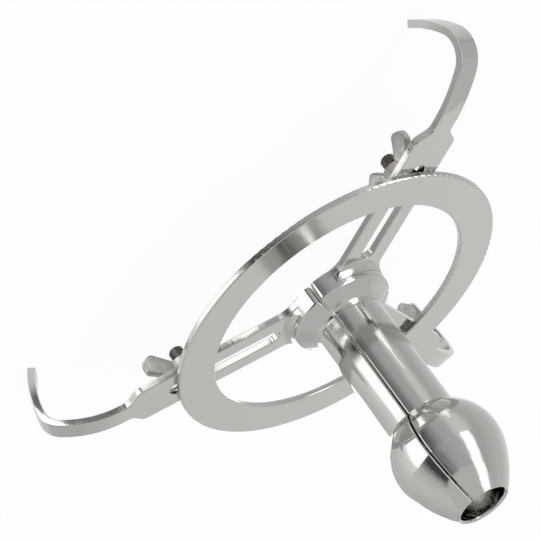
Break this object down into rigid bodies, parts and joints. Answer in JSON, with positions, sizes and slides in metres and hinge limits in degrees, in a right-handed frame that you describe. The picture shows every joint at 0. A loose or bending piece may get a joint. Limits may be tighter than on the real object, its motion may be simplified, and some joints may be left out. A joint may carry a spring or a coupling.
{
  "type": "anal speculum",
  "caption": "Expanding anal speculum: hooked arms slide under a flat ring and carry the blades of a split, bulb-ended tube; wing nuts clamp them.",
  "frame": {"origin": "centre of the closed blades' passage, level with the back face of the collar and the arms", "axes": "+Z runs along the passage from the collar to the blade tips; arm 3 points along -Y; arms 1 and 2 point to the +X and -X sides of +Y"},
  "size_m": [0.2905, 0.261, 0.1843],
  "materials": {
    "polished_steel": "mirror polished stainless steel",
    "plain_steel": "plain stainless steel thread",
    "cast_steel": "cast stainless steel, lightly ground"
  },
  "bodies": {
    "ring": {"ring": "polished_steel", "stud_1": "plain_steel", "stud_2": "plain_steel", "stud_3": "plain_steel"},
    "blade_1": {"blade_1": "polished_steel"},
    "nut_1": {"wing_nut_1": "cast_steel"},
    "blade_2": {"blade_2": "polished_steel"},
    "nut_2": {"wing_nut_2": "cast_steel"},
    "blade_3": {"blade_3": "polished_steel"},
    "nut_3": {"wing_nut_3": "cast_steel"}
  },
  "joints": [
    {"name": "blade_1_slide", "type": "slide", "parent": "ring", "child": "blade_1", "axis": [0.866, 0.5, 0], "range_m": [0, 0.04]},
    {"name": "nut_1_spin", "type": "hinge", "parent": "ring", "child": "nut_1", "pos_m": [0.07327, 0.0423, 0], "axis": [0, 0, 1], "continuous": true},
    {"name": "blade_2_slide", "type": "slide", "parent": "ring", "child": "blade_2", "axis": [-0.866, 0.5, 0], "range_m": [0, 0.04]},
    {"name": "nut_2_spin", "type": "hinge", "parent": "ring", "child": "nut_2", "pos_m": [-0.07327, 0.0423, 0], "axis": [0, 0, 1], "continuous": true},
    {"name": "blade_3_slide", "type": "slide", "parent": "ring", "child": "blade_3", "axis": [0, -1, 0], "range_m": [0, 0.04]},
    {"name": "nut_3_spin", "type": "hinge", "parent": "ring", "child": "nut_3", "pos_m": [0, -0.0846, 0], "axis": [0, 0, 1], "continuous": true}
  ]
}
